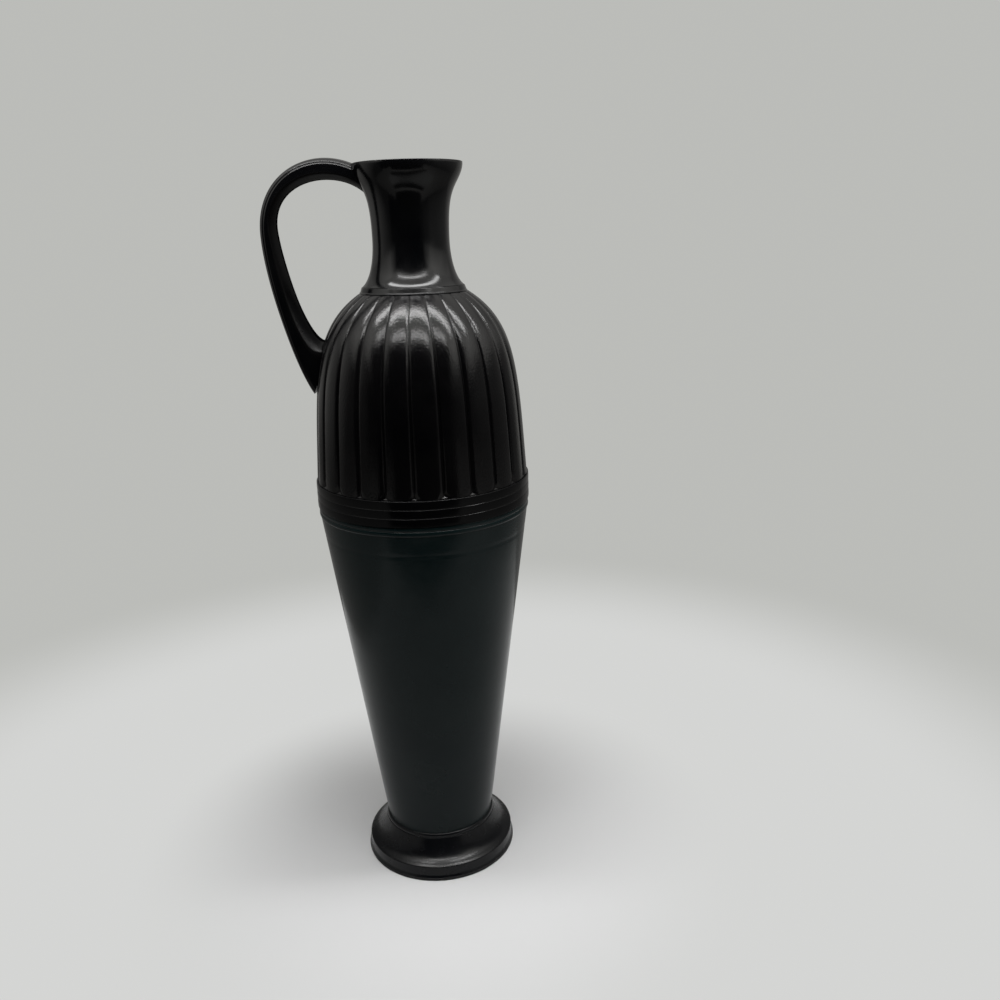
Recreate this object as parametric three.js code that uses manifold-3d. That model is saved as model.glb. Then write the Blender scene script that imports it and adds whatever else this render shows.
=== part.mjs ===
// Ewer vase in blackened metal: turned and cast sections joined at spigots, and a reeded handle.
// Millimetres, Z up. The vase stands on z = 0 round the Z axis, and the handle is on the -X side.

import * as THREE from "three";
import { mergeVertices } from "three/addons/utils/BufferGeometryUtils.js";
import loadManifold from "manifold-3d";

const wasm = await loadManifold();
wasm.setup();
const { Manifold, Mesh: SolidMesh } = wasm;

// Walls, and the gap left for solder wherever one section fits into another
const wall = 2;
const spigotWall = 1.8;
const solderGap = 0.3;

// Heights of the sections, from the floor up
const footHeight = 17.7;
const beadHeight = 2.3;
const coneHeight = 186.4;
const girdleHeight = 13;
const shoulderHeight = 93.2;
const collarHeight = 3.2;
const neckHeight = 57.7;

// Foot, and the plate that closes it underneath
const footRadius = 41;
const bandHeight = 6;
const footRim = 3.6;
const basePlateThickness = 1.6;
const basePlateOverhang = 1;

// Tapered lower body, its floor and the bead under it
const coneBaseRadius = 29.9;
const beadOverhang = 0.7;
const beadBulge = 0.7;
const footSpigotInset = 4.2;
const lipHeight = 4.8;
const lipBulge = 0.5;
const lipBeads = 2;
const floorThickness = 2;

// Widest part. The lower body's spigot stands inside the girdle and carries the shoulder
const bodyRadius = 54.9;
const spigotHeight = 7.6;
const spigotInset = 2.9;
const girdleBulge = 0.7;
const girdleReeds = 3;

// Lobed shoulder
const lobes = 24;
const lobeDepth = 1.9;
const lobeRoundness = 2.6;

// Collar and neck
const collarRadius = 26.7;
const collarStep = 1.4;
const neckRadius = 18.6;
const mouthRadius = 26.9;
const neckSpigotInset = 3.1;
const neckSpigotDepth = 7;

// Handle
const handleReach = 73.4;
const handleSlimmest = 7;
const handleWidth = 14;
const handleFootWidth = 18;
const handleCrownDrop = 31;
const handleLanding = 40;
const handleReeds = 5;
const reedDepth = 0.5;
const crownRise = 4.4;

// Facets
const turns = 48;
const facetsPerLobe = 6;

// Levels where one section ends and the next begins
const beadBase = basePlateThickness + footHeight;
const coneBase = beadBase + beadHeight;
const girdleBase = coneBase + coneHeight;
const shoulderBase = girdleBase + girdleHeight;
const collarBase = shoulderBase + shoulderHeight;
const neckBase = collarBase + collarHeight;
const mouth = neckBase + neckHeight;

// Radii that follow from the ones above
const footTopRadius = coneBaseRadius + 1.1;
const footSpigotRadius = coneBaseRadius - footSpigotInset;
const coneTopRadius = bodyRadius - 0.4;
const shoulderRadius = bodyRadius - 0.1;
const bodySpigotRadius = bodyRadius - spigotInset;
const shoulderTopRadius = collarRadius + 0.6;
const neckBaseRadius = collarRadius - collarStep;
const neckSpigotRadius = neckBaseRadius - neckSpigotInset;

// A profile is a list of [radius, height] points. Outside runs go up and inside runs come down.
function curve(points, steps) {
  const [a, b, c, d] = points.map(([r, z]) => new THREE.Vector2(r, z));
  return new THREE.CubicBezierCurve(a, b, c, d).getPoints(steps).map((p) => [p.x, p.y]);
}

// Half-round mouldings one above another on a surface of the given radius
function mouldings(radius, from, to, count, bulge, steps) {
  const points = [];
  for (let k = 0; k < count; k++) {
    for (let j = k ? 1 : 0; j <= steps; j++) {
      const z = from + ((to - from) * (k + (1 - Math.cos((Math.PI * j) / steps)) / 2)) / count;
      points.push([radius + bulge * Math.sin((Math.PI * j) / steps), z]);
    }
  }
  return points;
}

// The profile moved sideways by a distance, outward when it is above zero
function offset(points, distance) {
  return points.map(([r, z], i) => {
    const [r0, z0] = points[Math.max(i - 1, 0)];
    const [r1, z1] = points[Math.min(i + 1, points.length - 1)];
    const length = Math.hypot(r1 - r0, z1 - z0);
    return [r + (distance * (z1 - z0)) / length, z - (distance * (r1 - r0)) / length];
  });
}

function turned(profile) {
  const closed = [...profile, profile[0]].map(([r, z]) => new THREE.Vector2(r, z));
  return new THREE.LatheGeometry(closed, turns).rotateX(Math.PI / 2);
}

// A solid skinned over closed rings of points that follow one another, with flat ends
function skinned(rings) {
  const count = rings[0].length;
  const centre = (ring) => ring.reduce((sum, p) => sum.add(p), new THREE.Vector3()).divideScalar(count);
  const points = [...rings.flat(), centre(rings[0]), centre(rings[rings.length - 1])];
  const first = rings.length * count;
  const faces = [];
  for (let i = 0; i < count; i++) {
    const j = (i + 1) % count;
    for (let k = 0; k + 1 < rings.length; k++) {
      const low = k * count;
      const high = low + count;
      faces.push(low + i, low + j, high + j, low + i, high + j, high + i);
    }
    faces.push(first, j, i, first + 1, first - count + i, first - count + j);
  }
  const geometry = new THREE.BufferGeometry().setFromPoints(points);
  return geometry.setIndex(faces);
}

function toSolid(geometry) {
  const bare = new THREE.BufferGeometry();
  bare.setAttribute("position", geometry.getAttribute("position"));
  bare.setIndex(geometry.getIndex());
  const merged = mergeVertices(bare, 1e-4);
  const triVerts = new Uint32Array(merged.getIndex().array);
  const vertProperties = new Float32Array(merged.getAttribute("position").array);
  return new Manifold(new SolidMesh({ numProp: 3, vertProperties, triVerts }));
}

function toGeometry(solid) {
  const mesh = solid.getMesh();
  const geometry = new THREE.BufferGeometry();
  geometry.setAttribute("position", new THREE.BufferAttribute(mesh.vertProperties, 3));
  return geometry.setIndex(new THREE.BufferAttribute(mesh.triVerts, 1));
}

// Crest line of the shoulder: a slow taper that turns over into the collar
const crestLine = new THREE.CubicBezierCurve(
  new THREE.Vector2(shoulderRadius, shoulderBase),
  new THREE.Vector2(shoulderRadius - 3.4, shoulderBase + 0.564 * shoulderHeight),
  new THREE.Vector2(shoulderTopRadius + 24.6, collarBase - 0.174 * shoulderHeight),
  new THREE.Vector2(shoulderTopRadius, collarBase),
);

// Line of the neck: a waist, then a flare to the mouth
const waistHeight = neckBase + 0.39 * neckHeight;
const neckLine = (steps) => [
  ...curve([
    [neckBaseRadius, neckBase],
    [neckRadius + 0.9, neckBase + 2.9],
    [neckRadius, waistHeight - 9.1],
    [neckRadius, waistHeight],
  ], steps),
  ...curve([
    [neckRadius, waistHeight],
    [neckRadius, waistHeight + 0.28 * neckHeight],
    [neckRadius + 1, mouth - 0.285 * neckHeight],
    [mouthRadius, mouth],
  ], steps).slice(1),
];

// Plate under the foot, a little wider than it, with its edges eased
function basePlate() {
  const radius = footRadius + basePlateOverhang;
  const ease = 0.3;
  return turned([
    [0, 0],
    [radius - ease, 0],
    [radius, ease],
    [radius, basePlateThickness - ease],
    [radius - ease, basePlateThickness],
    [0, basePlateThickness],
  ]);
}

// Foot: an upright band, a flare up to its seat, and a short spigot that locates the lower body
function foot() {
  const bandTop = basePlateThickness + bandHeight;
  const flareHeight = beadBase - bandTop;
  const flare = curve([
    [footRadius - 1.4, bandTop + 1.2],
    [footRadius - 0.62 * (footRadius - footTopRadius), bandTop + 0.27 * flareHeight],
    [footTopRadius + 1.2, bandTop + 0.47 * flareHeight],
    [footTopRadius, beadBase],
  ], 6);
  const hollow = curve([
    [footSpigotRadius - wall, beadBase - wall],
    [footSpigotRadius - wall, beadBase - 3 * wall],
    [footRadius - 5 * wall, bandTop + 0.4 * wall],
    [footRadius - footRim, bandTop - wall],
  ], 3);
  return turned([
    [footRadius - 0.2, basePlateThickness],
    [footRadius, basePlateThickness + 0.2],
    [footRadius, bandTop],
    [footRadius - 0.5, bandTop + 0.8],
    ...flare,
    [footSpigotRadius, beadBase],
    [footSpigotRadius, coneBase + wall],
    [footSpigotRadius - wall, coneBase + wall],
    ...hollow,
    [footRadius - footRim, basePlateThickness],
  ]);
}

// Half-round bead between the foot and the lower body
function footBead() {
  const bore = footSpigotRadius + solderGap;
  return turned([
    [bore, beadBase],
    ...mouldings(coneBaseRadius + beadOverhang, beadBase, coneBase, 1, beadBulge, 4),
    [bore, coneBase],
  ]);
}

// Lower body: a straight taper with a lip of two small beads, stepped in at the top to a spigot
function lowerBody() {
  const lipBase = girdleBase - lipHeight;
  const ledge = footSpigotRadius + solderGap;
  const taper = (coneTopRadius - coneBaseRadius) / (lipBase - coneBase);
  const inside = (z) => coneBaseRadius + taper * (z - coneBase) - wall;
  return turned([
    [ledge, coneBase],
    [coneBaseRadius, coneBase],
    ...mouldings(coneTopRadius, lipBase, girdleBase, lipBeads, lipBulge, 2),
    [bodySpigotRadius, girdleBase],
    [bodySpigotRadius, girdleBase + spigotHeight],
    [bodySpigotRadius - spigotWall, girdleBase + spigotHeight],
    [bodySpigotRadius - spigotWall, girdleBase - 1.5],
    [inside(lipBase - 2), lipBase - 2],
    [inside(coneBase + wall), coneBase + wall],
    [ledge, coneBase + wall],
  ]);
}

function bodyFloor() {
  const radius = coneBaseRadius - wall - solderGap;
  const base = coneBase + wall;
  return turned([[0, base], [radius, base], [radius, base + floorThickness], [0, base + floorThickness]]);
}

// Girdle: a sleeve of three reeds over the joint between the lower body and the shoulder
function girdle() {
  const bore = bodySpigotRadius + solderGap;
  return turned([
    [bore, girdleBase],
    ...mouldings(bodyRadius, girdleBase, shoulderBase, girdleReeds, girdleBulge, 4),
    [bore, shoulderBase],
  ]);
}

// Radius of the lobed surface where the crest has this radius: a wide round lobe between narrow grooves
function lobedRadius(crest, angle) {
  const pitch = (2 * Math.PI) / lobes;
  const across = (2 * (angle - pitch * Math.floor(angle / pitch))) / pitch - 1;
  const depth = (lobeDepth * crest) / shoulderRadius;
  return crest - depth * Math.abs(across) ** lobeRoundness;
}

function lobedSolid(grow) {
  const columns = lobes * facetsPerLobe;
  const crest = offset(crestLine.getSpacedPoints(10).map((p) => [p.x, p.y]), grow);
  crest[0][1] = shoulderBase;
  crest[crest.length - 1][1] = collarBase + grow;
  return toSolid(skinned(crest.map(([radius, z]) => Array.from({ length: columns }, (_, i) => {
    const angle = (2 * Math.PI * i) / columns;
    const r = lobedRadius(radius, angle);
    return new THREE.Vector3(r * Math.cos(angle), r * Math.sin(angle), z);
  }))));
}

// Shoulder: lobed outside, plain inside, with a skirt that stands on the spigot inside the girdle
function shoulder() {
  const seat = girdleBase + spigotHeight;
  const hole = neckSpigotRadius + solderGap;
  const skirt = toSolid(turned([
    [0, seat],
    [bodySpigotRadius, seat],
    [bodySpigotRadius, shoulderBase],
    [0, shoulderBase],
  ]));
  const inside = offset(crestLine.getSpacedPoints(7).map((p) => [p.x, p.y]), -wall - 0.8 * lobeDepth)
    .filter(([r, z]) => z > shoulderBase + wall && z < collarBase - wall && r > hole);
  const cavity = toSolid(turned([
    [0, seat - 1],
    [bodySpigotRadius - spigotWall, seat - 1],
    [bodySpigotRadius - spigotWall, shoulderBase + 1],
    ...inside,
    [hole, collarBase - wall - 1],
    [hole, collarBase + 1],
    [0, collarBase + 1],
  ]));
  return toGeometry(lobedSolid(0).add(skirt).subtract(cavity));
}

// Collar: a small coved ring that hides the joint between the shoulder and the neck
function collar() {
  const bore = neckSpigotRadius + solderGap;
  return turned([
    [bore, collarBase],
    [collarRadius, collarBase],
    [collarRadius, collarBase + 0.8],
    [neckBaseRadius - 0.1, collarBase + 1.4],
    [neckBaseRadius - 0.3, neckBase],
    [bore, neckBase],
  ]);
}

// Neck: one flared tube whose lower end is a spigot through the collar into the shoulder
function neck() {
  const inner = offset(neckLine(4), -spigotWall).reverse();
  inner[0] = [mouthRadius - spigotWall, mouth];
  const spigotBore = neckSpigotRadius - spigotWall;
  const tube = inner.filter(([r, z]) => z > neckBase + 4 || r < spigotBore - 0.4);
  return turned([
    ...neckLine(6),
    ...tube,
    [spigotBore, neckBase],
    [spigotBore, collarBase - neckSpigotDepth],
    [neckSpigotRadius, collarBase - neckSpigotDepth],
    [neckSpigotRadius, neckBase],
  ]);
}

// Handle edges in the plane of the handle, as distance from the axis and height
function handleEdge(points) {
  const [a, b, c, d] = points.map(([r, z]) => new THREE.Vector2(r, z));
  return new THREE.CubicBezierCurve(a, b, c, d);
}

const landing = shoulderBase + handleLanding;
const crown = mouth - handleCrownDrop;
const landingRadius = crestLine.getPoint(0.42).x;
const rootRadius = crestLine.getPoint(0.6).x;
const innerReach = handleReach - handleSlimmest;

const outerArch = handleEdge([
  [mouthRadius - 6, mouth - 2.4],
  [mouthRadius + 16.6, mouth + 12.2],
  [handleReach, crown + 28],
  [handleReach, crown],
]);
const outerLeg = handleEdge([
  [handleReach, crown],
  [handleReach, crown - 28.5],
  [landingRadius + 11.1, landing + 15.5],
  [landingRadius + 2.6, landing + 3.8],
]);
const innerArch = handleEdge([
  [mouthRadius - 6.2, mouth - 13.9],
  [mouthRadius + 6.9, mouth - 0.1],
  [innerReach, crown + 27],
  [innerReach, crown + 3.4],
]);
const innerLeg = handleEdge([
  [innerReach, crown + 3.4],
  [innerReach, crown - 8.3],
  [rootRadius + 8.8, landing + 30.2],
  [rootRadius - 0.6, landing + 28.5],
]);
const innerRoot = new THREE.LineCurve(
  new THREE.Vector2(rootRadius - 0.6, landing + 28.5),
  new THREE.Vector2(landingRadius - 14, landing + 6),
);

// Section of the strap: flat inside face, flat sides, and a half-oval outside divided into reeds
function strapSection(inner, outer, width) {
  const away = outer.clone().sub(inner);
  const thickness = away.length();
  away.normalize();
  const corner = 1.5;
  const half = width / 2;
  const shape = [[-half, corner], [-half + 0.4 * corner, 0.3 * corner], [-half + corner, 0]];
  shape.push([half - corner, 0], [half - 0.4 * corner, 0.3 * corner], [half, corner]);
  shape.push([half, thickness - crownRise - reedDepth]);
  const stepsPerReed = 3;
  for (let j = 0; j <= stepsPerReed * handleReeds; j++) {
    const turn = (Math.PI * j) / (stepsPerReed * handleReeds);
    const groove = reedDepth * (1 - Math.abs(Math.sin(handleReeds * turn)));
    const rise = (crownRise - groove) * Math.sin(turn);
    shape.push([(half - groove) * Math.cos(turn), thickness - crownRise + rise]);
  }
  shape.push([-half, thickness - crownRise - reedDepth]);
  return shape.map(([y, h]) => new THREE.Vector3(-(inner.x + away.x * h), -y, inner.y + away.y * h));
}

// Handle: one cast strap, its ends cut to the neck and to the lobes with room for solder
function handle() {
  const archSteps = 14;
  const legSteps = 16;
  const outer = outerArch.getSpacedPoints(archSteps).concat(outerLeg.getSpacedPoints(legSteps).slice(1));
  const leg = new THREE.CurvePath();
  leg.add(innerLeg);
  leg.add(innerRoot);
  const inner = innerArch.getSpacedPoints(archSteps).concat(leg.getSpacedPoints(legSteps).slice(1));
  const strap = toSolid(skinned(outer.map((point, i) => {
    const spread = THREE.MathUtils.smoothstep(i, archSteps + 0.5 * legSteps, archSteps + 0.9 * legSteps);
    return strapSection(inner[i], point, THREE.MathUtils.lerp(handleWidth, handleFootWidth, spread));
  })));
  const rim = mouthRadius + solderGap;
  const neckRoom = toSolid(turned([
    [0, neckBase],
    ...offset(neckLine(6), solderGap).slice(1, -1),
    [rim, mouth],
    [rim, mouth + 20],
    [0, mouth + 20],
  ]));
  return toGeometry(strap.subtract(neckRoom).subtract(lobedSolid(solderGap)));
}

const blackened = { color: 0x191b1d, roughness: 0.36, metalness: 0.7 };
const blackenedInside = { color: 0x141516, roughness: 0.6, metalness: 0.6 };

const vase = new THREE.Group();

function add(name, geometry, finish) {
  const mesh = new THREE.Mesh(geometry, new THREE.MeshStandardMaterial(finish));
  mesh.name = name;
  vase.add(mesh);
}

add("base_plate", basePlate(), blackenedInside);
add("foot", foot(), blackened);
add("foot_bead", footBead(), blackened);
add("lower_body", lowerBody(), blackened);
add("body_floor", bodyFloor(), blackenedInside);
add("girdle_band", girdle(), blackened);
add("shoulder", shoulder(), blackened);
add("collar_ring", collar(), blackened);
add("neck", neck(), blackened);
add("handle", handle(), blackened);

export default vase;
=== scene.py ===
"""A tall ewer vase in blackened metal, put together from the foot up in the order in which its maker
solders it. Every profile is a list of (radius, height) in millimetres, in the frame of the CAD model."""
import math
import bpy
import numpy as np
from mathutils import Matrix, Vector


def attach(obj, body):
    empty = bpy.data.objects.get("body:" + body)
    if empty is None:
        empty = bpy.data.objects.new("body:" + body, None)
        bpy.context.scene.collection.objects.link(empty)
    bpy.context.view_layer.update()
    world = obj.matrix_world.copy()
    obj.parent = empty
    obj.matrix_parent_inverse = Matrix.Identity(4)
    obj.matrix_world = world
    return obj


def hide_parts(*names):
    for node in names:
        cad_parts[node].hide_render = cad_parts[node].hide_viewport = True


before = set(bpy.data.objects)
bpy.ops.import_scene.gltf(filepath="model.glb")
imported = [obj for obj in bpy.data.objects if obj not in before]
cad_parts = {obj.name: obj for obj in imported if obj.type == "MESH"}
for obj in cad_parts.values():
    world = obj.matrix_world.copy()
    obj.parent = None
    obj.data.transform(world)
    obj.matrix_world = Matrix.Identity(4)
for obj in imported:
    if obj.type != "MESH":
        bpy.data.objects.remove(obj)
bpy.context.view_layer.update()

# Plate under the foot: a flat spun disc that the vase stands on. Its eased edge is a little wider than
# the foot and is rubbed pale by every table it has stood on. It is soldered to the foot's rim.
MM = 0.001
TURNED_COLUMNS = 288
PLATE_RADIUS, PLATE_TOP = 42, 1.6


def eased(corners, steps=7):
    """Closed profile from rows of radius, height and ease. Each corner becomes the parabola start times
    (1 - t) squared, plus the corner times 2 t (1 - t), plus end times t squared, where start and end are
    its ease away from it. A support point further out on both sides keeps the flats beside it flat."""
    corners = np.array(corners, float)
    point, ease = corners[:, :2], corners[:, 2:]
    before, after = np.roll(point, 1, 0) - point, np.roll(point, -1, 0) - point
    span_before = np.linalg.norm(before, axis=1, keepdims=True)
    span_after = np.linalg.norm(after, axis=1, keepdims=True)
    ease = np.minimum(ease, 0.3 * np.minimum(span_before, span_after))
    before, after = before / span_before, after / span_after
    t = np.linspace(0, 1, steps)[None, :, None]
    start, end = (point + before * ease)[:, None], (point + after * ease)[:, None]
    bend = start * (1 - t) ** 2 + 2 * point[:, None] * t * (1 - t) + end * t**2
    supports = [(point + way * ease * 1.6)[:, None] for way in (before, after)]
    rows = np.concatenate([supports[0], bend, supports[1]], 1).reshape(-1, 2)
    keep = np.linalg.norm(rows - np.roll(rows, 1, 0), axis=1) > 1e-5
    return rows[keep]


def closed_surface(name, grid, poles=False):
    """Closed mesh from a grid of points in millimetres, rows by columns by 3. The columns go once round
    the piece. The last row meets the first, or with poles both end rows close in a fan to their mean."""
    rows, columns = grid.shape[:2]
    index = np.arange(rows * columns).reshape(rows, columns)
    points = grid.reshape(-1, 3)
    faces = []
    if poles:
        points = np.vstack([points, grid[0].mean(0), grid[-1].mean(0)])
        first, last = index[0], index[-1]
        foot, head = np.full(columns, rows * columns), np.full(columns, rows * columns + 1)
        faces += np.stack([foot, np.roll(first, -1), first], -1).tolist()
        faces += np.stack([last, np.roll(last, -1), head], -1).tolist()
    else:
        index = np.vstack([index, index[:1]])
    beside = np.roll(index, -1, 1)
    faces += np.stack([index[:-1], beside[:-1], beside[1:], index[1:]], -1).reshape(-1, 4).tolist()
    mesh = bpy.data.meshes.new(name)
    mesh.from_pydata((points * MM).tolist(), [], faces)
    mesh.polygons.foreach_set("use_smooth", np.ones(len(faces), bool))
    piece = bpy.data.objects.new(name, mesh)
    bpy.context.scene.collection.objects.link(piece)
    return piece


def round_axis(profile):
    """Grid of a turned surface: radius times cosine and sine of the angle round the axis, at each height."""
    angle = np.arange(TURNED_COLUMNS) * (2 * math.pi / TURNED_COLUMNS)
    radius, height = profile[:, :1], profile[:, 1:2]
    return np.stack([radius * np.cos(angle), radius * np.sin(angle), height + 0 * angle], -1)


def turned(name, profile):
    """Piece of revolution. A profile that starts and ends on the axis closes in poles there."""
    profile = np.array(profile, float)
    if profile[:, 0].min() < 1e-6:
        solid = profile[profile[:, 0] > 1e-6]
        return closed_surface(name, round_axis(solid), poles=True)
    return closed_surface(name, round_axis(profile))


def join(piece, node, material):
    """The piece takes the place of its CAD node, rides with the one body and carries its finish."""
    piece.data.materials.append(material)
    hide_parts(node)
    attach(piece, "root")


def blackened(name, tones, gloss, grain, turning, sheen=1.3, rubbed=None):
    """Blackened metal, all in object coordinates. Tones are two colours mixed by clouds 30 mm wide. Gloss
    is the least and the greatest roughness, mixed by smaller clouds. Grain and turning are heights in
    millimetres of the skin's grain and of fine rings round the axis. Sheen is the index of refraction of
    its lacquer. Rubbed is (colour, height below which it starts, share) for a finish that is worn through
    in specks near the ground. The skin also has broad dents and a few pits. Noise scales are waves per
    metre and bump heights millimetres."""
    material = bpy.data.materials.new(name)
    material.use_nodes = True
    nodes, links = material.node_tree.nodes, material.node_tree.links
    shader = nodes["Principled BSDF"]
    place = nodes.new("ShaderNodeTexCoord").outputs["Object"]

    def put(node, socket, value):
        if isinstance(value, bpy.types.NodeSocket):
            links.new(value, node.inputs[socket])
        else:
            node.inputs[socket].default_value = value

    def noise(scale, detail=3.0, vector=place):
        node = nodes.new("ShaderNodeTexNoise")
        put(node, "Vector", vector)
        put(node, "Scale", scale)
        put(node, "Detail", detail)
        return node.outputs["Fac"]

    def spread(value, low, high, to_low=0.0, to_high=1.0):
        node = nodes.new("ShaderNodeMapRange")
        for socket, number in zip(("Value", "From Min", "From Max", "To Min", "To Max"),
                                  (value, low, high, to_low, to_high)):
            put(node, socket, number)
        return node.outputs["Result"]

    def work(operation, a, b=0.0):
        node = nodes.new("ShaderNodeMath")
        node.operation = operation
        put(node, 0, a)
        put(node, 1, b)
        return node.outputs[0]

    def blend(share, a, b):
        node = nodes.new("ShaderNodeMix")
        node.data_type = "RGBA"
        for socket, value in ((0, share), (6, a), (7, b)):
            put(node, socket, value)
        return node.outputs[2]

    def raised(height, distance, under=None):
        node = nodes.new("ShaderNodeBump")
        put(node, "Strength", 1.0)
        put(node, "Distance", distance * MM)
        put(node, "Height", height)
        if under:
            put(node, "Normal", under)
        return node.outputs["Normal"]

    colour = blend(spread(noise(33, 4), 0.35, 0.65), (*tones[0], 1), (*tones[1], 1))
    rough = spread(noise(140, 4), 0.3, 0.7, *gloss)
    skin = raised(noise(45, 2), 0.12)
    skin = raised(noise(1100, 2), grain, skin)
    cells = nodes.new("ShaderNodeTexVoronoi")
    put(cells, "Vector", place)
    put(cells, "Scale", 95.0)
    split = nodes.new("ShaderNodeSeparateColor")
    put(split, "Color", cells.outputs["Color"])
    chosen = work("GREATER_THAN", split.outputs[0], 0.16)
    pit = spread(work("ADD", cells.outputs["Distance"], chosen), 0.02, 0.06)
    skin = raised(pit, 0.09, skin)
    if turning:
        squeeze = nodes.new("ShaderNodeMapping")
        put(squeeze, "Vector", place)
        squeeze.inputs["Scale"].default_value = (0.02, 0.02, 1)
        skin = raised(noise(900, 3, squeeze.outputs["Vector"]), turning, skin)
    if rubbed:
        metal, top, share = rubbed
        axes = nodes.new("ShaderNodeSeparateXYZ")
        put(axes, "Vector", place)
        low = spread(axes.outputs["Z"], top * MM, 0.0, -share, share)
        worn = spread(work("ADD", noise(420, 5), low), 0.62, 0.72)
        colour = blend(worn, colour, (*metal, 1))
        rough = work("ADD", rough, work("MULTIPLY", worn, 0.12))
    put(shader, "Base Color", colour)
    put(shader, "Roughness", rough)
    put(shader, "Normal", skin)
    put(shader, "IOR", sheen)
    return material


inside_metal = blackened("inside_metal", [(0.003, 0.0032, 0.0034), (0.007, 0.0072, 0.0074)],
                         gloss=(0.42, 0.55), grain=0.03, turning=0.01,
                         rubbed=((0.09, 0.088, 0.08), 2.2, 0.14))
plate = turned("plate_under_foot", eased([(0, 0, 0), (PLATE_RADIUS, 0, 0.5), (PLATE_RADIUS, PLATE_TOP, 0.45),
                                         (0, PLATE_TOP, 0)]))
join(plate, "base_plate", inside_metal)

# Foot: a turned ring with an upright band, an arris above it and a concave flare up to the seat of the
# bead. It is hollow beneath, and the short spigot on top locates the lower body.
FOOT_SEAT, FOOT_SPIGOT_TOP = 19.3, 23.6
FOOT_SPIGOT_BORE, FOOT_SPIGOT = 23.7, 25.7
FLARE_STEPS = 40


def bezier(points, steps):
    """Cubic Bezier curve through four (radius, height) points, as rows evenly spaced in its parameter."""
    a, b, c, d = np.array(points, float)
    t = np.linspace(0, 1, steps)[:, None]
    return a * (1 - t) ** 3 + 3 * b * t * (1 - t) ** 2 + 3 * c * t**2 * (1 - t) + d * t**3


def sharp(points):
    """Rows of radius, height and no ease, for points that are already on a curve."""
    return np.column_stack([points, np.zeros(len(points))])


foot_black = blackened("blackened_satin_foot", [(0.0012, 0.0015, 0.0022), (0.0034, 0.0036, 0.0044)],
                       gloss=(0.2, 0.3), grain=0.02, turning=0.004, sheen=1.31,
                       rubbed=((0.07, 0.07, 0.064), 3.0, 0.12))
flare = bezier([(39.6, 8.7), (35.2, 10.4), (33.2, 14.4), (31, FOOT_SEAT)], FLARE_STEPS)
hollow = bezier([(FOOT_SPIGOT_BORE, 17.3), (FOOT_SPIGOT_BORE, 13.3), (31, 8.4), (37.4, 5.6)],
                FLARE_STEPS // 2)
foot = turned("turned_foot", eased(np.vstack([
    [(37.4, PLATE_TOP, 0.1), (41.8, PLATE_TOP, 0.1), (41.1, 3, 0.8), (41, 7.9, 0.8)],
    sharp(flare[:-1]),
    [(31, FOOT_SEAT, 0.15), (FOOT_SPIGOT, FOOT_SEAT, 0.1), (FOOT_SPIGOT, FOOT_SPIGOT_TOP, 0.2),
     (FOOT_SPIGOT_BORE, FOOT_SPIGOT_TOP, 0.2)],
    sharp(hollow),
])))
join(foot, "foot", foot_black)

# Bead between the foot and the body: a half-round ring, turned from bar and slipped over the foot's
# spigot, where the solder that holds the body also holds it. It draws in a little towards its top.
BEAD_BORE, BEAD_TOP = 26, 21.6


def half_rounds(radius, low, high, count, bulge, steps=14):
    """Half-round mouldings one above another: the radius swells by the bulge times the sine of a half
    turn, while the height goes over the span as one minus the cosine of that half turn."""
    turn = np.linspace(0, math.pi, steps + 1)
    tier = np.arange(count)[:, None]
    height = low + (high - low) / count * (tier + (1 - np.cos(turn)) / 2)
    rows = np.stack([radius + bulge * np.sin(turn) + 0 * tier, height], -1)[:, :-1].reshape(-1, 2)
    return sharp(np.vstack([rows, (radius, high)]))


bead_face = half_rounds(30.6, FOOT_SEAT, BEAD_TOP, 1, 0.55)
bead_face[:, 0] -= 0.6 * (bead_face[:, 1] - FOOT_SEAT) / (BEAD_TOP - FOOT_SEAT)
bead = turned("bead_ring", eased(np.vstack([[(BEAD_BORE, FOOT_SEAT, 0.1)], bead_face,
                                            [(BEAD_BORE, BEAD_TOP, 0.1)]])))
join(bead, "foot_bead", foot_black)

# Lower body: sheet spun to a straight taper, with two small beads rolled into its top edge and one
# shallow tool line under them. Its stepped-in top is the spigot that carries the shoulder.
BODY_FOOT_RADIUS, BODY_TOP_RADIUS = 29.9, 54.5
LIP_LOW, LIP_TOP, BODY_SPIGOT_TOP = 203.2, 208, 215.6
BODY_SPIGOT_BORE, BODY_SPIGOT = 50.2, 52
satin_black = blackened("blackened_satin", [(0.0008, 0.0046, 0.0052), (0.003, 0.0072, 0.0076)],
                        gloss=(0.15, 0.22), grain=0.02, turning=0.004, sheen=1.24)
taper = (BODY_TOP_RADIUS - BODY_FOOT_RADIUS) / (LIP_LOW - BEAD_TOP)
cone_height = np.array([60, 100, 140, 175, 190.2, 191.2, 192.1, 193.1, 193.9, 194.9, 202, 202.9, 203.1])
tool_line = np.array([0, 0, 0, 0, 0, 0, -0.07, -0.05, 0, 0, 0, 0, 0])
cone_radius = BODY_FOOT_RADIUS + taper * (cone_height - BEAD_TOP) + tool_line
body = turned("tapered_body", eased(np.vstack([
    [(BEAD_BORE, BEAD_TOP, 0.1), (BODY_FOOT_RADIUS, BEAD_TOP, 0.15)],
    sharp(np.column_stack([cone_radius, cone_height])),
    half_rounds(BODY_TOP_RADIUS, LIP_LOW, LIP_TOP, 2, 0.5),
    [(BODY_SPIGOT, LIP_TOP, 0.1), (BODY_SPIGOT, BODY_SPIGOT_TOP, 0.2),
     (BODY_SPIGOT_BORE, BODY_SPIGOT_TOP, 0.2), (BODY_SPIGOT_BORE, 206.5, 0.3), (52.2, 201.2, 0.3),
     (28.2, FOOT_SPIGOT_TOP, 0.1), (BEAD_BORE, FOOT_SPIGOT_TOP, 0.1)],
])))
join(body, "lower_body", satin_black)

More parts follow.
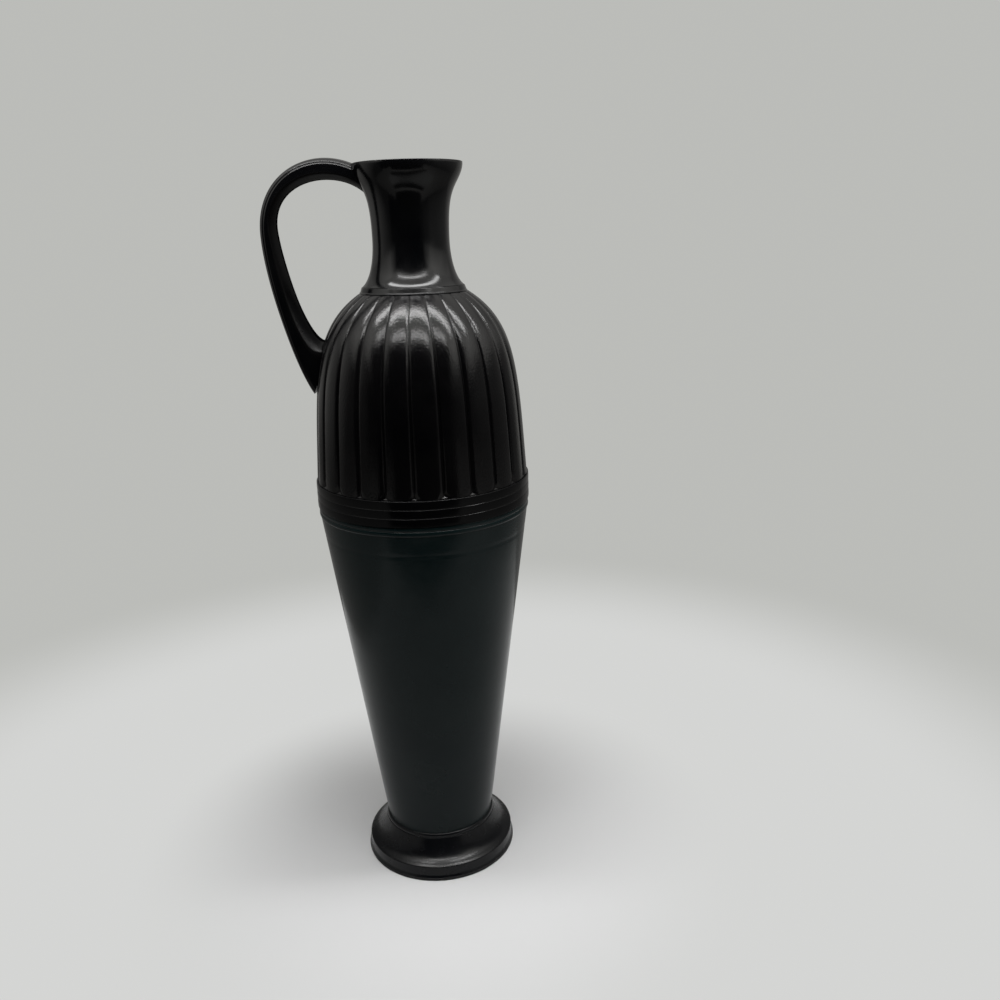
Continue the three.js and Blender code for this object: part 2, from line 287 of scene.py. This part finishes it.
# Floor inside the body: a cut disc, laid on the ledge at the bottom of the taper and on the foot's
# spigot, and soldered round so that the vase holds water.
DISC_RADIUS, DISC_TOP = 27.6, 25.6
floor_disc = turned("inner_floor", eased([(0, FOOT_SPIGOT_TOP, 0), (DISC_RADIUS, FOOT_SPIGOT_TOP, 0.2),
                                          (DISC_RADIUS, DISC_TOP, 0.4), (0, DISC_TOP, 0)]))
join(floor_disc, "body_floor", inside_metal)

# Girdle: a sleeve turned with three shallow reeds, which covers the joint of the body and the shoulder.
# It stands on the lip, round the spigot, and the lobes of the shoulder come down on its top.
SLEEVE_BORE, GIRDLE_TOP = 52.3, 221
REED_RADIUS, REED_GROOVE, REED_DEPTH, REED_CROWN = 55.35, 0.45, 0.22, 0.07
girdle_black = blackened("blackened_gloss_girdle", [(0.0004, 0.0005, 0.0007), (0.0012, 0.0012, 0.0014)],
                         gloss=(0.13, 0.21), grain=0.015, turning=0, sheen=1.2)


def flat_reeds(radius, low, high, count, groove, depth, crown):
    """Reeds almost flat, one above another, between narrow V-grooves: each face swells by its crown times
    one minus the square of the distance from its middle."""
    tall = (high - low) / count
    share = np.linspace(-1, 1, 9)[:, None]
    face = np.hstack([radius + crown * (1 - share**2), tall / 2 + (tall - groove) / 2 * share, 0 * share])
    face[[0, -1], 2] = 0.07
    tier = np.vstack([face, (radius - depth, tall, 0.1)])
    rows = np.tile(tier, (count, 1))
    rows[:, 1] += low + np.repeat(tall * np.arange(count), len(tier))
    return rows[:-1]


girdle = turned("reeded_girdle", eased(np.vstack([
    [(SLEEVE_BORE, LIP_TOP, 0.1), (55, LIP_TOP, 0.1)],
    flat_reeds(REED_RADIUS, LIP_TOP, GIRDLE_TOP, 3, REED_GROOVE, REED_DEPTH, REED_CROWN),
    [(55.2, GIRDLE_TOP, 0.12), (SLEEVE_BORE, GIRDLE_TOP, 0.1)],
])))
join(girdle, "girdle_band", girdle_black)

# Shoulder: a cast shell of 24 gently convex lobes between narrow grooves, which taper with it up to the
# collar and stop at the girdle. Inside it is plain, and its skirt stands on the body's spigot.
cast_black = blackened("blackened_gloss_cast", [(0.0005, 0.0005, 0.0007), (0.0015, 0.0014, 0.0016)],
                       gloss=(0.13, 0.2), grain=0.09, turning=0)
SHOULDER_RADIUS, SHOULDER_TOP = 54.8, 314.2
SHOULDER_BORE, SHELL = 22.5, 3.52
LOBES, COLUMNS_PER_LOBE, CREST_ROWS = 24, 24, 130
LOBE_CROWN, GROOVE_DEPTH, GROOVE_START = 0.6, 1.15, 0.76


def moved_sideways(line, distance):
    """The profile moved square to itself: each row shifts by the distance along the turned tangent."""
    way = np.gradient(line, axis=0)
    way /= np.linalg.norm(way, axis=1, keepdims=True)
    return line + distance * np.stack([way[:, 1], -way[:, 0]], -1)


def evenly(line, steps):
    """The same polyline with its rows spaced evenly along its length."""
    run = np.append(0, np.cumsum(np.linalg.norm(np.diff(line, axis=0), axis=1)))
    place = np.linspace(0, run[-1], steps)
    return np.stack([np.interp(place, run, line[:, 0]), np.interp(place, run, line[:, 1])], -1)


def smoothstep(value, low, high):
    """Cubic step from 0 at low to 1 at high."""
    t = np.clip((value - low) / (high - low), 0, 1)
    return t * t * (3 - 2 * t)


def lobed_radius(crest, height, angle):
    """Radius of the lobes where their crest has this radius. Across a lobe the surface falls by its crown
    times the square of the distance from its middle, and past the groove's start by the groove's depth
    times the power 1.7 of the share of the groove. Neighbours meet in a smooth maximum of the two. All
    depths shrink with the crest and the crown grows up the shoulder. At the foot the groove is shallow and
    wide, and a ramp keeps its depth there under 0.7 of the height above the ledge."""
    pitch = 2 * math.pi / LOBES
    wander = 0.0035 * np.sin(3 * angle + 1.1) + 0.0025 * np.sin(7 * angle + 0.4)
    turn = (angle + wander) / pitch
    across = np.abs(2 * (turn - np.floor(turn)) - 1)
    uneven = 1 + 0.12 * np.sin(5 * angle + 2) + 0.08 * np.sin(9 * angle)
    scale = crest / SHOULDER_RADIUS
    crown = LOBE_CROWN * (1 + 0.9 * smoothstep(height, 262, 300)) * scale
    depth = GROOVE_DEPTH * scale * uneven * (0.75 + 0.25 * smoothstep(height, 222, 230)
                                             - 0.45 * smoothstep(height, 262, 300))
    start = GROOVE_START - 0.4 * (1 - smoothstep(height, GIRDLE_TOP, GIRDLE_TOP + 4))
    ramp = 0.7 * np.maximum(height - GIRDLE_TOP + 0.05, 0)

    def fall(distance):
        groove = depth * (np.maximum(distance - start, 0) / (1 - start)) ** 1.7
        return crown * distance**2 + np.minimum(groove, ramp)

    own, next_one = -fall(across), -fall(2 - across)
    rounding = 0.45 * scale
    near = np.maximum(rounding - np.abs(own - next_one), 0) / rounding
    tucked_in = 0.12 * (1 - smoothstep(height, GIRDLE_TOP, GIRDLE_TOP + 0.4))
    return crest + own + rounding / 4 * near**2 - tucked_in


crest_line = evenly(bezier([(SHOULDER_RADIUS, GIRDLE_TOP), (51.4, 273.56), (51.9, 297.98),
                            (27.3, SHOULDER_TOP)], 800), CREST_ROWS)
inner_line = moved_sideways(crest_line, -SHELL)[::-8]
inner_line = inner_line[(inner_line[:, 1] > 223) & (inner_line[:, 1] < 311)
                        & (inner_line[:, 0] > SHOULDER_BORE)]
plain = np.vstack([[(24, SHOULDER_TOP), (SHOULDER_BORE, SHOULDER_TOP), (SHOULDER_BORE, 311.2)], inner_line,
                   [(BODY_SPIGOT_BORE, 222), (BODY_SPIGOT_BORE, BODY_SPIGOT_TOP), (51.9, BODY_SPIGOT_TOP),
                    (51.9, 220.9), (BODY_SPIGOT, GIRDLE_TOP)]])
column = np.arange(LOBES * COLUMNS_PER_LOBE) / COLUMNS_PER_LOBE
angle = (column - 0.1 * np.sin(2 * math.pi * column)) * (2 * math.pi / LOBES)
low = GIRDLE_TOP + np.linspace(0, 2.2, 12)[1:-1]
rows = np.vstack([crest_line, np.column_stack([np.interp(low, crest_line[:, 1], crest_line[:, 0]), low])])
rows = rows[np.argsort(rows[:, 1], kind="stable")]
reach = np.vstack([lobed_radius(rows[:, :1], rows[:, 1:], angle), plain[:, :1] + 0 * angle])
rise = np.vstack([rows[:, 1:], plain[:, 1:]]) + 0 * angle
lobes = np.stack([reach * np.cos(angle), reach * np.sin(angle), rise], -1)
shoulder = closed_surface("lobed_shoulder", lobes)
join(shoulder, "shoulder", cast_black)

# Collar: a small turned ring with a sloped face, which hides the joint between the shoulder and the neck.
# It lies on the shoulder's top land and the neck's spigot goes through it.
COLLAR_TOP = 317.4
smooth_black = blackened("blackened_gloss_smooth", [(0.0004, 0.0005, 0.0007), (0.0012, 0.0012, 0.0014)],
                         gloss=(0.11, 0.19), grain=0.01, turning=0)
collar = turned("coved_collar", eased([(SHOULDER_BORE, SHOULDER_TOP, 0.1), (26.9, SHOULDER_TOP, 0.1),
                                       (26.85, 314.8, 0.25), (26.4, 315.1, 0.2), (25.6, 317.35, 0.2),
                                       (SHOULDER_BORE, COLLAR_TOP, 0.1)]))
join(collar, "collar_ring", smooth_black)

# Neck: a spun tube, waisted and flared to a plain rounded lip. Its lower end is the spigot that goes
# through the collar into the shoulder.
WAIST, MOUTH, NECK_WALL = 18.95, 375.1, 1.8
NECK_SPIGOT_BORE, NECK_SPIGOT, NECK_SPIGOT_FOOT = 20.4, 22.2, 307.2
neck_line = evenly(np.vstack([
    bezier([(25.3, COLLAR_TOP), (20.9, 320.9), (WAIST, 330.8), (WAIST, 339.9)], 300),
    bezier([(WAIST, 339.9), (WAIST, 355), (20.35, 360), (22.9, 364.8)], 300)[1:],
    bezier([(22.9, 364.8), (24.5, 367.8), (26.35, 370.4), (26.7, 374.1)], 200)[1:],
]), 130)
bore_line = moved_sideways(neck_line, -NECK_WALL)[::-2]
bore_line = bore_line[(bore_line[:, 1] > 321.4) & (bore_line[:, 1] < 372.5)]
neck = turned("flared_neck", eased(np.vstack([
    [(NECK_SPIGOT, COLLAR_TOP, 0.1)],
    sharp(neck_line),
    [(26.7, MOUTH, 0.6), (25, MOUTH, 0.7)],
    sharp(bore_line),
    [(NECK_SPIGOT_BORE, COLLAR_TOP, 0.4), (NECK_SPIGOT_BORE, NECK_SPIGOT_FOOT, 0.3),
     (NECK_SPIGOT, NECK_SPIGOT_FOOT, 0.3)],
])))
join(neck, "neck", smooth_black)

# Handle: one cast strap, flat inside and domed outside, with five reeds along the dome. It springs from
# just under the lip and lands on the shoulder, where its inner corners open out into a broad round.
STATIONS = 30
STATION_STEPS = 8
ARCH = 14
HALF_WIDTH, LANDING_SPREAD = 7, 2
DOME_HEIGHT, REEDS, REED_SINK, ARRIS = 3.6, 5, 0.42, 0.24
outer_edge = np.vstack([
    evenly(bezier([(20.9, 372.7), (43.5, 386.9), (73.4, 373.7), (73.4, 344.1)], 600),
           ARCH * STATION_STEPS + 1)[:-1],
    evenly(bezier([(73.4, 344.1), (73.4, 319.5), (60.9, 277.2), (53, 264.8)], 600),
           (STATIONS - ARCH) * STATION_STEPS + 1),
])
inner_edge = np.vstack([
    evenly(bezier([(20.7, 361.2), (33.5, 373.9), (65.1, 370), (65.1, 347)], 600),
           ARCH * STATION_STEPS + 1)[:-1],
    evenly(np.vstack([bezier([(65.1, 347), (65.1, 335.5), (55.2, 292.6), (46, 291.4)], 600),
                      (37, 290)]), (STATIONS - ARCH) * STATION_STEPS + 1),
])
station = np.arange(len(outer_edge)) / STATION_STEPS


def strap_grid(inner, outer, half, corner_width, corner_depth):
    """Points of the strap, stations by section. Across is the distance from the strap's middle plane and
    up the distance from the inner edge: two bevels, bowed as the power 1.7 of cosine and sine, to a
    narrow flat on the inside, flat sides, and a half ellipse outside. Its reeds are half turns of a
    sine between an arris on each side, sunk in between them."""
    away = outer - inner
    thickness = np.linalg.norm(away, axis=1, keepdims=True)
    away /= thickness
    quarter = np.linspace(0, math.pi / 2, 12)
    dome = np.linspace(0, math.pi, 91)
    groove = REED_SINK * (1 - np.abs(np.sin((dome - ARRIS) * REEDS * math.pi / (math.pi - 2 * ARRIS))))
    flat = np.linspace(-1, 1, 9)[1:-1]
    side = np.linspace(0, 1, 6)[1:-1]
    spring = thickness - DOME_HEIGHT
    rise = corner_depth + (spring - corner_depth) * side
    across = np.hstack([-half + corner_width * (1 - np.cos(quarter) ** 1.7), (half - corner_width) * flat,
                        half - corner_width * (1 - np.sin(quarter) ** 1.7), half + 0 * rise,
                        (half - groove) * np.cos(dome), -half + 0 * rise])
    up = np.hstack([corner_depth * (1 - np.sin(quarter) ** 1.7), 0 * half * flat,
                    corner_depth * (1 - np.cos(quarter) ** 1.7), rise,
                    spring + (DOME_HEIGHT - groove) * np.sin(dome), rise[:, ::-1]])
    radius = inner[:, :1] + away[:, :1] * up
    height = inner[:, 1:] + away[:, 1:] * up
    return np.stack([-radius, -across, height], -1)


def from_surface(grid, surface_radius, fixed, ends):
    """Slides the stations along each lengthwise line, so that the line ends where it comes out of the
    surface. A point's place is the share of the way from the fixed station to that crossing."""
    radius = np.hypot(grid[..., 0], grid[..., 1])
    outside = radius - surface_radius(grid[..., 2], np.arctan2(grid[..., 1], grid[..., 0]))
    order = np.arange(len(grid)) if ends == "first" else np.arange(len(grid))[::-1]
    clear = np.cumsum(outside[order] > 0, axis=0) == 1
    found = np.argmax(clear, axis=0)
    column = np.arange(grid.shape[1])
    here, last = order[found], order[np.maximum(found - 1, 0)]
    share = outside[last, column] / (outside[last, column] - outside[here, column] + 1e-12)
    crossing = last + (here - last) * np.clip(share, 0, 1)
    end = 0 if ends == "first" else len(grid) - 1
    step = np.arange(len(grid))[:, None]
    between = (step - fixed) / (end - fixed)
    moved = np.where(between > 0, fixed + (crossing - fixed) * between, step)
    low = np.clip(np.floor(moved).astype(int), 0, len(grid) - 2)
    part = (moved - low)[..., None]
    return grid[low, column] * (1 - part) + grid[low + 1, column] * part


def neck_radius(height, angle):
    """Radius of the neck's outside at a height, the same all round."""
    return np.interp(height, neck_line[:, 1], neck_line[:, 0])


def shoulder_radius(height, angle):
    """Radius of the lobes at a height and an angle. Above the shoulder it is near nothing."""
    crest = np.interp(height, crest_line[:, 1], crest_line[:, 0], right=1)
    return lobed_radius(crest, height, angle)


half = (HALF_WIDTH + LANDING_SPREAD * smoothstep(station, 22, 28.4))[:, None]
opening = smoothstep(station, 16, 25)[:, None]
strap = strap_grid(inner_edge, outer_edge, half, 6 + 0.6 * opening, 3 + 2.4 * opening)
strap = from_surface(strap, neck_radius, 3 * STATION_STEPS, "first")
strap = from_surface(strap, shoulder_radius, 21 * STATION_STEPS, "last")
handle = closed_surface("reeded_handle", strap, poles=True)
join(handle, "handle", smooth_black)
# Its inner side was never polished like the rest: the bevels are duller and the flat between them dull.
less_polished = [(0.0005, 0.0005, 0.0006), (0.0015, 0.0014, 0.0015)]
handle.data.materials.append(blackened("blackened_gloss_bevel", less_polished, gloss=(0.25, 0.35),
                                       grain=0.02, turning=0, sheen=1.15))
handle.data.materials.append(blackened("blackened_dull", less_polished, gloss=(0.5, 0.6),
                                       grain=0.03, turning=0, sheen=1.0))
column = np.arange(len(handle.data.polygons) - 2 * strap.shape[1]) % strap.shape[1]
finish = np.where(column < 31, 1, 0)
finish[(column >= 9) & (column < 21)] = 2
handle.data.polygons.foreach_set("material_index", np.append(np.zeros(2 * strap.shape[1], int), finish))

# Studio: a pale floor under the vase, and round it the pale cards of a light box with two strip lamps
# overhead and a dark opening in front. The cards show in the metal and not to the camera.
WALL_TONE, FLOOR_TONE = (0.5, 0.505, 0.485), (0.66, 0.665, 0.655)


def card(name, corners, glow):
    """Flat card through four corners in metres, each with its own glow, which blends between them."""
    mesh = bpy.data.meshes.new(name)
    mesh.from_pydata(corners, [], [(0, 1, 2, 3)])
    mesh.attributes.new("glow", "FLOAT", "POINT").data.foreach_set("value", glow)
    material = bpy.data.materials.new(name)
    material.use_nodes = True
    nodes, links = material.node_tree.nodes, material.node_tree.links
    nodes.clear()
    strength = nodes.new("ShaderNodeAttribute")
    strength.attribute_name = "glow"
    light = nodes.new("ShaderNodeEmission")
    light.inputs["Color"].default_value = (1, 0.985, 0.945, 1)
    links.new(strength.outputs["Fac"], light.inputs["Strength"])
    links.new(light.outputs[0], nodes.new("ShaderNodeOutputMaterial").inputs["Surface"])
    mesh.materials.append(material)
    board = bpy.data.objects.new(name, mesh)
    bpy.context.scene.collection.objects.link(board)
    board.visible_camera = False


def wall(name, start, end, low, high, glow):
    """Upright card over the line from start to end between two heights. Its glow is given for the low
    and the high corner at the start, and then for those at the end."""
    (x0, y0), (x1, y1) = start, end
    card(name, [(x0, y0, low), (x1, y1, low), (x1, y1, high), (x0, y0, high)],
         [glow[0], glow[2], glow[3], glow[1]])


def level(name, z, left, right, front, back, glow):
    """Level card. Its glow is given for its front and its back edge."""
    card(name, [(left, front, z), (right, front, z), (right, back, z), (left, back, z)],
         [glow[0], glow[0], glow[1], glow[1]])


LEFT, RIGHT, BACK, LOW, MIDDLE, CEILING, DARK = -0.24, 0.365, 0.292, 0.18, 0.37, 0.52, 0.01
FLOOR_EDGE, STRIP, STRIP_EDGE, ROOM = -0.285, -0.385, -0.46, -0.62
wall("left_low_back", (LEFT, BACK), (LEFT, -0.1), 0, LOW, (0.2, 0.1, 0.38, 0.25))
wall("left_low", (LEFT, -0.1), (LEFT, -0.4), 0, LOW, (0.38, 0.25, 0.46, 0.36))
wall("left_card", (LEFT, BACK), (LEFT, -0.02), LOW, MIDDLE, (0.08, 0.15, 0.1, 0.7))
wall("left_edge", (LEFT, -0.02), (LEFT, -0.19), LOW, MIDDLE, (0.1, 0.7, 0.12, 0.12))
wall("left_opening", (LEFT, -0.19), (-0.5, ROOM), LOW, MIDDLE, (DARK, DARK, DARK, DARK))
wall("left_top_back", (LEFT, BACK), (LEFT, 0.06), MIDDLE, CEILING, (0.2, 0.3, 0.35, 0.8))
wall("left_top", (LEFT, 0.06), (LEFT, -0.15), MIDDLE, CEILING, (0.35, 0.8, 1.3, 3.4))
wall("left_top_edge", (LEFT, -0.15), (LEFT, -0.27), MIDDLE, CEILING, (1.3, 3.4, DARK, 0.3))
wall("left_top_opening", (LEFT, -0.27), (-0.5, ROOM), MIDDLE, 1, (DARK, DARK, DARK, DARK))
wall("back_card", (LEFT, BACK), (RIGHT, BACK), 0, CEILING, (0.2, 0.36, 0.2, 0.36))
wall("right_low_back", (RIGHT, BACK), (RIGHT, -0.1), 0, LOW, (0.2, 0.1, 0.45, 0.28))
wall("right_low", (RIGHT, -0.1), (RIGHT, -0.45), 0, LOW, (0.5, 0.3, 0.65, 0.4))
wall("right_card", (RIGHT, BACK), (RIGHT, -0.05), LOW, MIDDLE, (0.1, 0.25, 0.12, 0.33))
wall("right_edge", (RIGHT, -0.05), (RIGHT, -0.2), LOW, MIDDLE, (0.12, 0.33, 0.1, 0.35))
wall("right_opening", (RIGHT, -0.2), (RIGHT, ROOM), LOW, MIDDLE, (0.1, 0.25, 0.02, 0.03))
wall("right_top_back", (RIGHT, BACK), (RIGHT, 0.12), MIDDLE, CEILING, (0.25, 0.35, 0.6, 1.3))
wall("right_top", (RIGHT, 0.12), (RIGHT, -0.2), MIDDLE, CEILING, (0.6, 1.3, 1.4, 3.6))
wall("right_top_edge", (RIGHT, -0.2), (RIGHT, -0.45), MIDDLE, CEILING, (1.4, 3.6, 0.1, 0.2))
wall("right_top_opening", (RIGHT, -0.45), (RIGHT, ROOM), MIDDLE, CEILING, (DARK, DARK, DARK, DARK))
card("opening_card", [(-0.6, ROOM, 0), (0.6, ROOM, 0), (0.6, ROOM, 1), (-0.6, ROOM, 1)], [DARK] * 4)
level("top_back", CEILING, LEFT, RIGHT, 0.06, BACK, (1.4, 0.3))
level("top_card", CEILING, LEFT, RIGHT, -0.28, 0.06, (3.0, 1.4))
level("top_opening", CEILING + 0.1, -0.6, 0.6, ROOM, -0.28, (DARK, DARK))
level("table_card", 0.001, -0.6, 0.6, STRIP, FLOOR_EDGE, (DARK, 0.05))
level("front_strip", 0.001, -0.6, 0.6, STRIP_EDGE, STRIP, (0.65, 0.65))
level("table_beyond", 0.001, -0.6, 0.6, ROOM, STRIP_EDGE, (DARK, DARK))


def strip_lamp(name, length, width, x, y, power):
    """Lamp that hangs just under the ceiling card, its length along X."""
    lamp = bpy.data.lights.new(name, "AREA")
    lamp.shape, lamp.size, lamp.size_y, lamp.energy = "RECTANGLE", length, width, power
    strip = bpy.data.objects.new(name, lamp)
    strip.location = (x, y, CEILING - 0.01)
    strip.visible_camera = False
    bpy.context.scene.collection.objects.link(strip)


strip_lamp("strip_over_vase", 0.45, 0.045, 0.06, -0.06, 1.5)
strip_lamp("strip_in_front", 0.36, 0.02, 0.02, -0.21, 0.75)

ground = bpy.data.meshes.new("floor")
around = np.linspace(0, 2 * math.pi, 129)[:-1]
ground.from_pydata(np.stack([4 * np.cos(around), 4 * np.sin(around), 0 * around - 2e-5], -1).tolist(),
                   [], [tuple(range(128))])
paint = bpy.data.materials.new("floor_paint")
paint.use_nodes = True
tree = paint.node_tree
tree.nodes.clear()
spot = tree.nodes.new("ShaderNodeTexCoord").outputs["Object"]
length = tree.nodes.new("ShaderNodeVectorMath")
length.operation = "LENGTH"
tree.links.new(spot, length.inputs[0])


def fading(start, end):
    """0 nearer to the axis than start and 1 beyond end, in metres, smooth between."""
    node = tree.nodes.new("ShaderNodeMapRange")
    node.interpolation_type = "SMOOTHSTEP"
    tree.links.new(length.outputs["Value"], node.inputs["Value"])
    node.inputs["From Min"].default_value, node.inputs["From Max"].default_value = start, end
    return node.outputs["Result"]


tone = tree.nodes.new("ShaderNodeMix")
tone.data_type = "RGBA"
tree.links.new(fading(0.3, 0.5), tone.inputs[0])
tone.inputs[6].default_value = (*FLOOR_TONE, 1)
tone.inputs[7].default_value = (*WALL_TONE, 1)
far = tree.nodes.new("ShaderNodeEmission")
tree.links.new(tone.outputs[2], far.inputs["Color"])
near = tree.nodes.new("ShaderNodeBsdfDiffuse")
near.inputs["Color"].default_value = (0.53, 0.535, 0.545, 1)
both = tree.nodes.new("ShaderNodeMixShader")
tree.links.new(fading(0.07, 0.18), both.inputs[0])
tree.links.new(near.outputs[0], both.inputs[1])
tree.links.new(far.outputs[0], both.inputs[2])
output = tree.nodes.new("ShaderNodeOutputMaterial")
tree.links.new(both.outputs[0], output.inputs["Surface"])
ground.materials.append(paint)
floor = bpy.data.objects.new("floor", ground)
bpy.context.scene.collection.objects.link(floor)

world = bpy.data.worlds.new("studio")
bpy.context.scene.world = world
world.use_nodes = True
world.node_tree.nodes["Background"].inputs["Color"].default_value = (*WALL_TONE, 1)
world.node_tree.nodes["Background"].inputs["Strength"].default_value = 1.0

# Camera: at the photograph's place, in metres from the foot of the axis. It looks down by its pitch and
# is turned about its line of sight by its roll, both in radians.
PITCH, ROLL = 0.280828, -0.028872
forward = Vector((0, math.cos(PITCH), -math.sin(PITCH)))
side, up = Vector((1, 0, 0)), Vector((0, math.sin(PITCH), math.cos(PITCH)))
across, upright = (side * math.cos(ROLL) + up * math.sin(ROLL), up * math.cos(ROLL) - side * math.sin(ROLL))
camera = bpy.data.objects.new("camera", bpy.data.cameras.new("camera"))
camera.matrix_world = (Matrix.Translation((0.04008, -0.47506, 0.34187))
                       @ Matrix((across, upright, -forward)).transposed().to_4x4())
camera.data.lens, camera.data.sensor_width = 33.45, 36
camera.data.clip_start, camera.data.clip_end = 0.01, 20
bpy.context.scene.collection.objects.link(camera)
bpy.context.scene.camera = camera
bpy.context.scene.view_settings.view_transform = "Standard"
